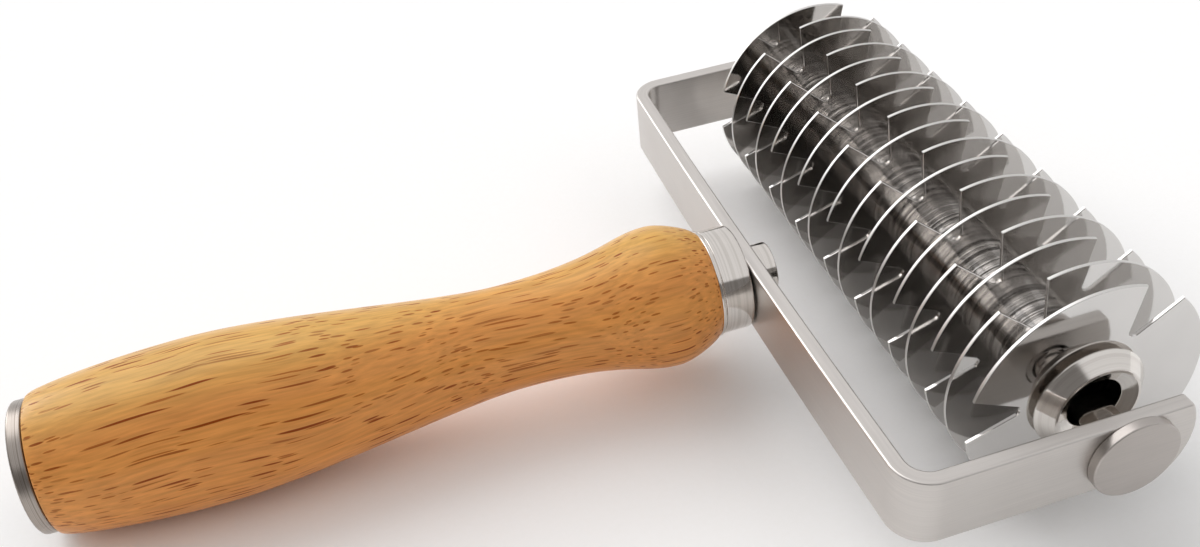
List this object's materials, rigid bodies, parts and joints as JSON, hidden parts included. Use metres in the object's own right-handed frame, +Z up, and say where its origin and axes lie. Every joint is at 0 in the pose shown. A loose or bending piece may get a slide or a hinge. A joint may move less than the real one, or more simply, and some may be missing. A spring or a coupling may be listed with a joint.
{
  "type": "lattice roller cutter",
  "caption": "Pastry lattice roller: notched steel discs on spacers turn on an axle in a bent flat-bar frame with a turned wooden handle.",
  "frame": {"origin": "on the table under the middle of the tool's bounding box", "axes": "+X along the roller, +Y from the handle to the roller, +Z up from the table"},
  "size_m": [0.144, 0.2052, 0.0462],
  "materials": {
    "polished_steel": "mirror-polished stainless steel",
    "satin_steel": "satin stainless steel",
    "turned_wood": "satin-lacquered beech with short dark pores"
  },
  "bodies": {
    "handle_frame": {"frame": "satin_steel", "axle": "polished_steel", "axle_button_right": "satin_steel", "axle_button_left": "satin_steel", "ferrule": "polished_steel", "handle_grip": "turned_wood", "end_cap": "satin_steel", "tang_boss": "polished_steel", "tang_rod": "satin_steel"},
    "roller": {"blade_01": "polished_steel", "blade_02": "polished_steel", "blade_03": "polished_steel", "blade_04": "polished_steel", "blade_05": "polished_steel", "blade_06": "polished_steel", "blade_07": "polished_steel", "blade_08": "polished_steel", "blade_09": "polished_steel", "blade_10": "polished_steel", "blade_11": "polished_steel", "blade_12": "polished_steel", "blade_13": "polished_steel", "blade_14": "polished_steel", "blade_15": "polished_steel", "blade_16": "polished_steel", "blade_17": "polished_steel", "spacer_01": "polished_steel", "spacer_02": "polished_steel", "spacer_03": "polished_steel", "spacer_04": "polished_steel", "spacer_05": "polished_steel", "spacer_06": "polished_steel", "spacer_07": "polished_steel", "spacer_08": "polished_steel", "spacer_09": "polished_steel", "spacer_10": "polished_steel", "spacer_11": "polished_steel", "spacer_12": "polished_steel", "spacer_13": "polished_steel", "spacer_14": "polished_steel", "spacer_15": "polished_steel", "spacer_16": "polished_steel", "roller_core": "satin_steel", "end_collar_right": "polished_steel", "end_collar_left": "polished_steel"}
  },
  "joints": [
    {"name": "roller_spin", "type": "hinge", "parent": "handle_frame", "child": "roller", "pos_m": [0, 0.07953, 0.0231], "axis": [1, 0, 0], "continuous": true}
  ]
}
